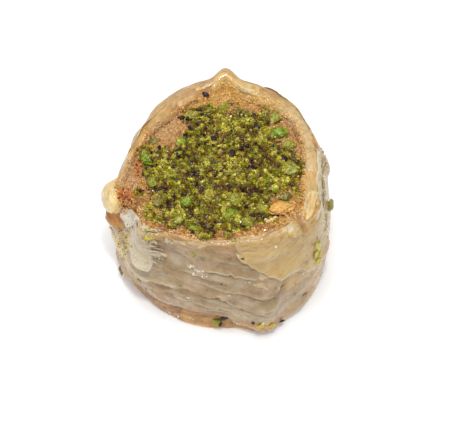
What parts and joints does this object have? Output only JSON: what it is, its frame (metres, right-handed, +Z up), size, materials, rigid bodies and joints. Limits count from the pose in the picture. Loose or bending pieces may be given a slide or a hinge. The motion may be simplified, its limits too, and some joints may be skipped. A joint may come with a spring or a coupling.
{
  "type": "baklava piece",
  "caption": "Cup-shaped piece of filo pastry wrapped round a ground-nut filling, open at the top and strewn with chopped pistachio.",
  "frame": {"origin": "middle of the underside, on the surface the piece stands on", "axes": "+Z up out of the open top, -Y to the front, where the last sheet's corner hangs down, and +X to the right of the front"},
  "size_m": [0.0432, 0.0456, 0.0259],
  "materials": {
    "filo": "thin translucent dough soaked in syrup, wet gloss, browned at the rim and the foot",
    "nut_filling": "ground nuts bound with syrup, coarse and moist, strewn with chopped green pistachio"
  },
  "bodies": {
    "root": {"filo_wrap": "filo", "nut_filling": "nut_filling"}
  },
  "joints": []
}
